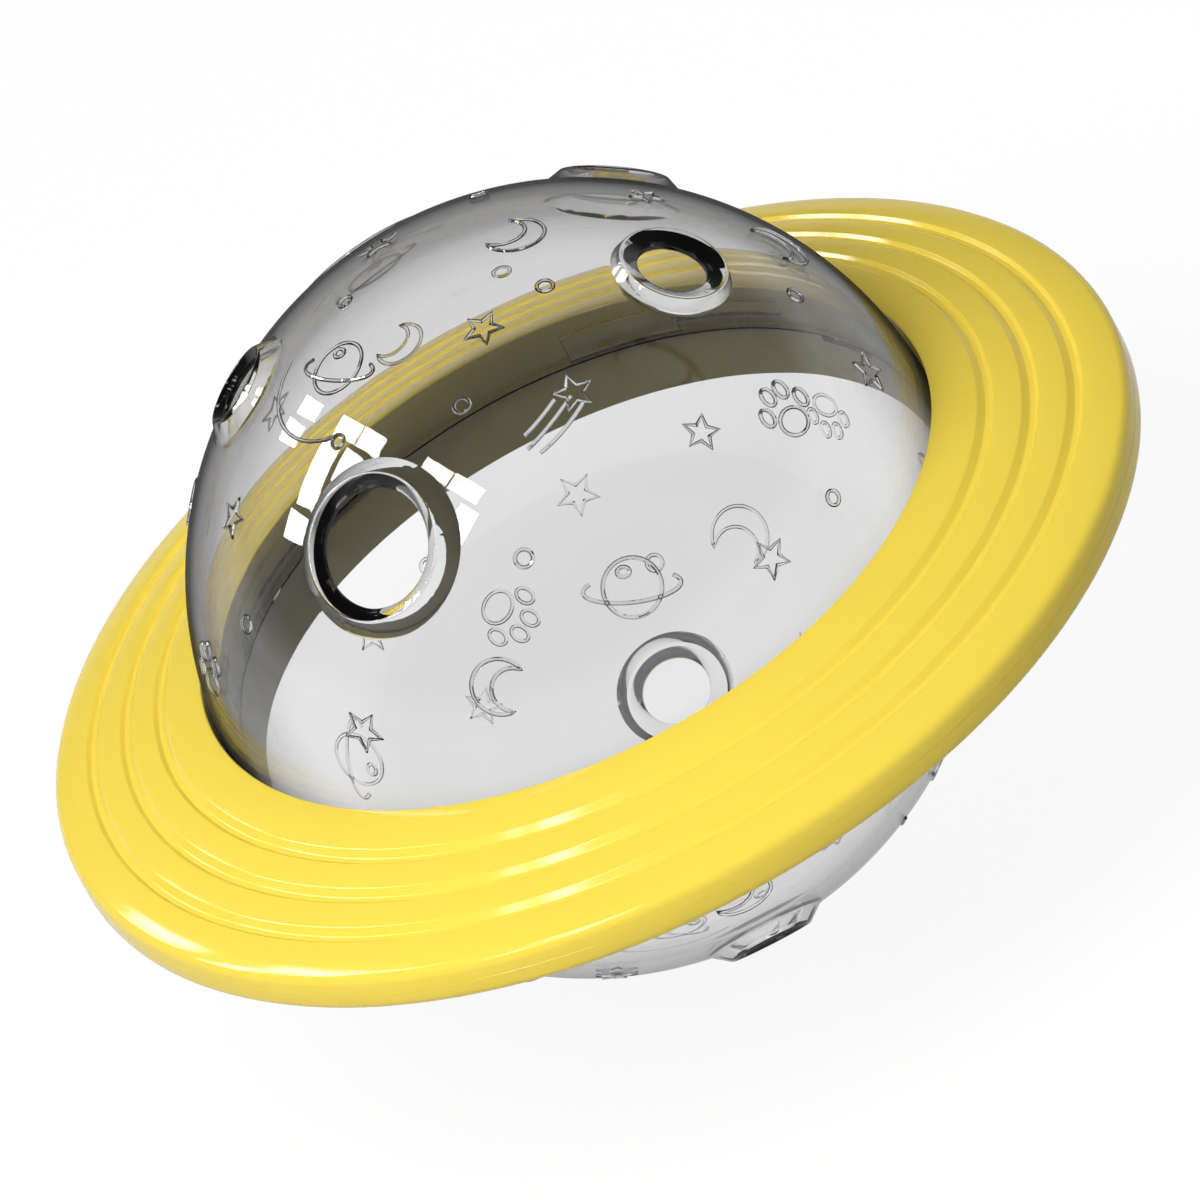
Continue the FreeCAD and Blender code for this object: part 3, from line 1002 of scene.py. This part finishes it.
class TREATBALL_OT_upper_half(bpy.types.Operator):
    """Build the smoky upper half of the ball"""

    bl_idname = "treatball.upper_half"
    bl_label = "Upper Half"

    def execute(self, context):
        scene = context.scene
        tint = tuple(scene.treat_ball_colours.smoky)
        # 0.92 is the share of painted shade towards the outline
        material = see_through("smoky_plastic", tint, 0.92, (0.55, 0.55, 0.55))
        shell = add_piece(upper_half(scene), "upper_half", material)
        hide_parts("upper_dome")
        for piece in (shell, add_piece(relief(scene), "upper_relief", material)):
            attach(piece, "lid")
        return {"FINISHED"}


class TREATBALL_OT_lower_half(bpy.types.Operator):
    """Build the clear lower half of the ball"""

    bl_idname = "treatball.lower_half"
    bl_label = "Lower Half"

    def execute(self, context):
        scene = context.scene
        tint = tuple(scene.treat_ball_colours.clear)
        # 0.2 is the share of painted shade towards the outline
        material = see_through("clear_plastic", tint, 0.2, (0.6, 0.6, 0.6))
        shell = add_piece(lower_half(scene), "lower_half", material)
        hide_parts("lower_dome")
        figures = relief(scene)
        turn_over(figures)
        for piece in (shell, add_piece(figures, "lower_relief", material)):
            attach(piece, "saucer")
        return {"FINISHED"}


class TREATBALL_OT_saucer(bpy.types.Operator):
    """Build the two shells of the saucer and the lugs in its bore"""

    bl_idname = "treatball.saucer"
    bl_label = "Saucer"

    def execute(self, context):
        scene = context.scene
        material = yellow_plastic("yellow_plastic", tuple(scene.treat_ball_colours.yellow))
        for name, build, nodes in (
                ("saucer_top", top_shell, ("saucer_top_shell",)),
                ("saucer_bottom", bottom_shell, ("saucer_bottom_shell",)),
                ("saucer_lugs", lug_ring, ())):
            piece = add_piece(build(scene), name, material)
            if nodes:
                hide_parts(*nodes)
            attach(piece, "saucer")
        return {"FINISHED"}


class TREATBALL_OT_stage(bpy.types.Operator):
    """Set up the floor, the light and the camera"""

    bl_idname = "treatball.stage"
    bl_label = "Stage"

    def execute(self, context):
        scene = context.scene
        scene.view_settings.view_transform = "Standard"
        bm = bmesh.new()
        bmesh.ops.create_circle(bm, cap_ends=True, segments=96, radius=scene.treat_ball_stage.floor_radius)
        bmesh.ops.translate(bm, verts=bm.verts, vec=(0, 0, CAD_BOX[0].z))
        floor = add_piece(bm, "floor", floor_paint(tuple(scene.treat_ball_colours.floor)))
        add_world(scene)
        add_lamp(scene, "key_lamp", *KEY_LAMP)
        add_lamp(scene, "fill_lamp", *FILL_LAMP)
        panes = [(*pane_behind(scene, corners), shine) for *corners, shine in GLINTS]
        for azimuth, elevation, width, tall, roll, shine in (*panes, LOW_PANE):
            power = shine * math.pi * width * tall
            add_lamp(scene, "pane", azimuth, elevation, PANE_DISTANCE, width, tall, power, roll, pane=True)
        add_camera(scene)
        return {"FINISHED"}


class TREATBALL_PT_panel(bpy.types.Panel):
    """Lists the steps that build the treat ball"""

    bl_idname = "TREATBALL_PT_panel"
    bl_label = "Treat Ball"
    bl_space_type = "VIEW_3D"
    bl_region_type = "UI"
    bl_category = "Treat Ball"

    def draw(self, context):
        layout = self.layout
        for step in STEPS:
            layout.operator(step.bl_idname)
        for group in GROUPS.values():
            settings = getattr(context.scene, group)
            box = layout.box()
            for name in settings.bl_rna.properties.keys():
                if name not in ("name", "rna_type"):
                    box.prop(settings, name)


GROUPS = {
    BallSizes: "treat_ball",
    ReliefSizes: "treat_ball_relief",
    LockSizes: "treat_ball_lock",
    TabSizes: "treat_ball_tabs",
    SaucerSizes: "treat_ball_saucer",
    Colours: "treat_ball_colours",
    StageSizes: "treat_ball_stage",
}
STEPS = (
    TREATBALL_OT_upper_half,
    TREATBALL_OT_lower_half,
    TREATBALL_OT_saucer,
    TREATBALL_OT_stage,
)


def register():
    for group, name in GROUPS.items():
        bpy.utils.register_class(group)
        setattr(bpy.types.Scene, name, bpy.props.PointerProperty(type=group))
    for step in STEPS:
        bpy.utils.register_class(step)
    bpy.utils.register_class(TREATBALL_PT_panel)


def unregister():
    bpy.utils.unregister_class(TREATBALL_PT_panel)
    for step in reversed(STEPS):
        bpy.utils.unregister_class(step)
    for group, name in reversed(GROUPS.items()):
        delattr(bpy.types.Scene, name)
        bpy.utils.unregister_class(group)


def main():
    register()
    for step in STEPS:
        group, name = step.bl_idname.split(".")
        getattr(getattr(bpy.ops, group), name)()


if __name__ == "__main__":
    main()
